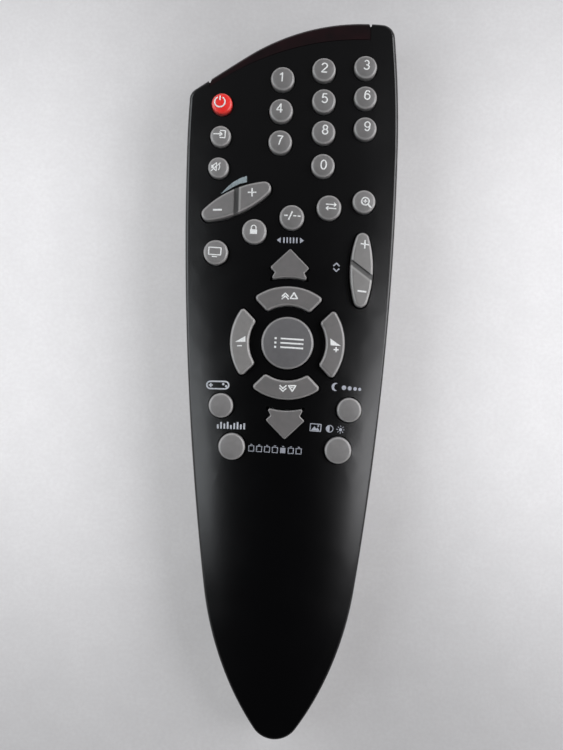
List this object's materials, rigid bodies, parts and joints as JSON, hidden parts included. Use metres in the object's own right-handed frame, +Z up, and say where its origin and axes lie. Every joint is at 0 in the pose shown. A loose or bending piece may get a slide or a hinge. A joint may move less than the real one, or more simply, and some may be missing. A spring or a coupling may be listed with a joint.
{
  "type": "tv remote control",
  "caption": "Slim handheld infrared remote control with domed rubber keys, a navigation ring, two rocker keys and a hinged battery door.",
  "frame": {"origin": "centre of the bounding box at the flat bottom of the case", "axes": "+X to the right seen from above with the infrared end away, +Y towards the infrared end, +Z up out of the keys"},
  "size_m": [0.0604, 0.2059, 0.0233],
  "materials": {
    "case_top": "fine satin moulding texture",
    "case_bottom": "fine satin moulding texture",
    "window": "polished, dark red tinted",
    "board": "lacquered board",
    "mat": "moulded silicone",
    "key_rubber": "moulded silicone, slightly translucent",
    "key_red": "moulded silicone, slightly translucent",
    "led": "clear tinted resin",
    "chip_plastic": "moulded epoxy",
    "resonator": "dipped resin",
    "capacitor_can": "bare can",
    "chip_resistor": "printed chip",
    "chip_capacitor": "fired chip",
    "steel": "plated steel",
    "contact_metal": "nickel-plated spring steel",
    "cell": "printed sleeve"
  },
  "bodies": {
    "case": {"upper_case": "case_top", "lower_case": "case_bottom", "ir_window": "window", "circuit_board": "board", "keypad_mat": "mat", "ir_led": "led", "controller_chip": "chip_plastic", "resonator": "resonator", "bulk_capacitor": "capacitor_can", "transistor": "chip_plastic", "resistors": "chip_resistor", "ceramic_capacitors": "chip_capacitor", "board_screws": "steel", "case_screw": "steel", "battery_left": "cell", "battery_right": "cell", "plate_contact": "contact_metal", "spring_contact": "contact_metal", "bridge_contact": "contact_metal"},
    "key_power": {"key_power": "key_red"},
    "key_source": {"key_source": "key_rubber"},
    "key_mute": {"key_mute": "key_rubber"},
    "key_swap": {"key_swap": "key_rubber"},
    "key_zoom": {"key_zoom": "key_rubber"},
    "key_dash": {"key_dash": "key_rubber"},
    "key_lock": {"key_lock": "key_rubber"},
    "key_display": {"key_display": "key_rubber"},
    "key_game": {"key_game": "key_rubber"},
    "key_sleep": {"key_sleep": "key_rubber"},
    "key_sound": {"key_sound": "key_rubber"},
    "key_picture": {"key_picture": "key_rubber"},
    "key_menu": {"key_menu": "key_rubber"},
    "key_digit_1": {"key_digit_1": "key_rubber"},
    "key_digit_4": {"key_digit_4": "key_rubber"},
    "key_digit_7": {"key_digit_7": "key_rubber"},
    "key_digit_2": {"key_digit_2": "key_rubber"},
    "key_digit_5": {"key_digit_5": "key_rubber"},
    "key_digit_8": {"key_digit_8": "key_rubber"},
    "key_digit_0": {"key_digit_0": "key_rubber"},
    "key_digit_3": {"key_digit_3": "key_rubber"},
    "key_digit_6": {"key_digit_6": "key_rubber"},
    "key_digit_9": {"key_digit_9": "key_rubber"},
    "key_up": {"key_up": "key_rubber"},
    "key_left": {"key_left": "key_rubber"},
    "key_down": {"key_down": "key_rubber"},
    "key_right": {"key_right": "key_rubber"},
    "key_scan": {"key_scan": "key_rubber"},
    "key_calendar": {"key_calendar": "key_rubber"},
    "key_volume": {"key_volume": "key_rubber"},
    "key_channel": {"key_channel": "key_rubber"},
    "battery_door": {"battery_door": "case_bottom"}
  },
  "joints": [
    {"name": "volume_rock", "type": "hinge", "parent": "case", "child": "key_volume", "pos_m": [-0.0153, 0.0505, 0.0197], "axis": [-0.4305, 0.9026, 0], "range_deg": [-4.5, 4.5], "stiffness_Nm_per_rad": 0.11},
    {"name": "channel_rock", "type": "hinge", "parent": "case", "child": "key_channel", "pos_m": [0.0204, 0.03235, 0.0194], "axis": [-1, 0, 0], "range_deg": [-4.5, 4.5], "stiffness_Nm_per_rad": 0.11},
    {"name": "door_swing", "type": "hinge", "parent": "case", "child": "battery_door", "pos_m": [0, -0.0785, 0], "axis": [-1, 0, 0], "range_deg": [0, 60]},
    {"name": "power_press", "type": "slide", "parent": "case", "child": "key_power", "axis": [0, 0, -1], "range_m": [0, 0.0011], "stiffness_N_per_m": 600},
    {"name": "source_press", "type": "slide", "parent": "case", "child": "key_source", "axis": [0, 0, -1], "range_m": [0, 0.0011], "stiffness_N_per_m": 600},
    {"name": "mute_press", "type": "slide", "parent": "case", "child": "key_mute", "axis": [0, 0, -1], "range_m": [0, 0.0011], "stiffness_N_per_m": 600},
    {"name": "swap_press", "type": "slide", "parent": "case", "child": "key_swap", "axis": [0, 0, -1], "range_m": [0, 0.0011], "stiffness_N_per_m": 600},
    {"name": "zoom_press", "type": "slide", "parent": "case", "child": "key_zoom", "axis": [0, 0, -1], "range_m": [0, 0.0011], "stiffness_N_per_m": 600},
    {"name": "dash_press", "type": "slide", "parent": "case", "child": "key_dash", "axis": [0, 0, -1], "range_m": [0, 0.0011], "stiffness_N_per_m": 600},
    {"name": "lock_press", "type": "slide", "parent": "case", "child": "key_lock", "axis": [0, 0, -1], "range_m": [0, 0.0011], "stiffness_N_per_m": 600},
    {"name": "display_press", "type": "slide", "parent": "case", "child": "key_display", "axis": [0, 0, -1], "range_m": [0, 0.0011], "stiffness_N_per_m": 600},
    {"name": "game_press", "type": "slide", "parent": "case", "child": "key_game", "axis": [0, 0, -1], "range_m": [0, 0.0011], "stiffness_N_per_m": 600},
    {"name": "sleep_press", "type": "slide", "parent": "case", "child": "key_sleep", "axis": [0, 0, -1], "range_m": [0, 0.0011], "stiffness_N_per_m": 600},
    {"name": "sound_press", "type": "slide", "parent": "case", "child": "key_sound", "axis": [0, 0, -1], "range_m": [0, 0.0011], "stiffness_N_per_m": 600},
    {"name": "picture_press", "type": "slide", "parent": "case", "child": "key_picture", "axis": [0, 0, -1], "range_m": [0, 0.0011], "stiffness_N_per_m": 600},
    {"name": "menu_press", "type": "slide", "parent": "case", "child": "key_menu", "axis": [0, 0, -1], "range_m": [0, 0.0011], "stiffness_N_per_m": 600},
    {"name": "digit_1_press", "type": "slide", "parent": "case", "child": "key_digit_1", "axis": [0, 0, -1], "range_m": [0, 0.0011], "stiffness_N_per_m": 600},
    {"name": "digit_4_press", "type": "slide", "parent": "case", "child": "key_digit_4", "axis": [0, 0, -1], "range_m": [0, 0.0011], "stiffness_N_per_m": 600},
    {"name": "digit_7_press", "type": "slide", "parent": "case", "child": "key_digit_7", "axis": [0, 0, -1], "range_m": [0, 0.0011], "stiffness_N_per_m": 600},
    {"name": "digit_2_press", "type": "slide", "parent": "case", "child": "key_digit_2", "axis": [0, 0, -1], "range_m": [0, 0.0011], "stiffness_N_per_m": 600},
    {"name": "digit_5_press", "type": "slide", "parent": "case", "child": "key_digit_5", "axis": [0, 0, -1], "range_m": [0, 0.0011], "stiffness_N_per_m": 600},
    {"name": "digit_8_press", "type": "slide", "parent": "case", "child": "key_digit_8", "axis": [0, 0, -1], "range_m": [0, 0.0011], "stiffness_N_per_m": 600},
    {"name": "digit_0_press", "type": "slide", "parent": "case", "child": "key_digit_0", "axis": [0, 0, -1], "range_m": [0, 0.0011], "stiffness_N_per_m": 600},
    {"name": "digit_3_press", "type": "slide", "parent": "case", "child": "key_digit_3", "axis": [0, 0, -1], "range_m": [0, 0.0011], "stiffness_N_per_m": 600},
    {"name": "digit_6_press", "type": "slide", "parent": "case", "child": "key_digit_6", "axis": [0, 0, -1], "range_m": [0, 0.0011], "stiffness_N_per_m": 600},
    {"name": "digit_9_press", "type": "slide", "parent": "case", "child": "key_digit_9", "axis": [0, 0, -1], "range_m": [0, 0.0011], "stiffness_N_per_m": 600},
    {"name": "up_press", "type": "slide", "parent": "case", "child": "key_up", "axis": [0, 0, -1], "range_m": [0, 0.0011], "stiffness_N_per_m": 600},
    {"name": "left_press", "type": "slide", "parent": "case", "child": "key_left", "axis": [0, 0, -1], "range_m": [0, 0.0011], "stiffness_N_per_m": 600},
    {"name": "down_press", "type": "slide", "parent": "case", "child": "key_down", "axis": [0, 0, -1], "range_m": [0, 0.0011], "stiffness_N_per_m": 600},
    {"name": "right_press", "type": "slide", "parent": "case", "child": "key_right", "axis": [0, 0, -1], "range_m": [0, 0.0011], "stiffness_N_per_m": 600},
    {"name": "scan_press", "type": "slide", "parent": "case", "child": "key_scan", "axis": [0, 0, -1], "range_m": [0, 0.0011], "stiffness_N_per_m": 600},
    {"name": "calendar_press", "type": "slide", "parent": "case", "child": "key_calendar", "axis": [0, 0, -1], "range_m": [0, 0.0011], "stiffness_N_per_m": 600}
  ]
}
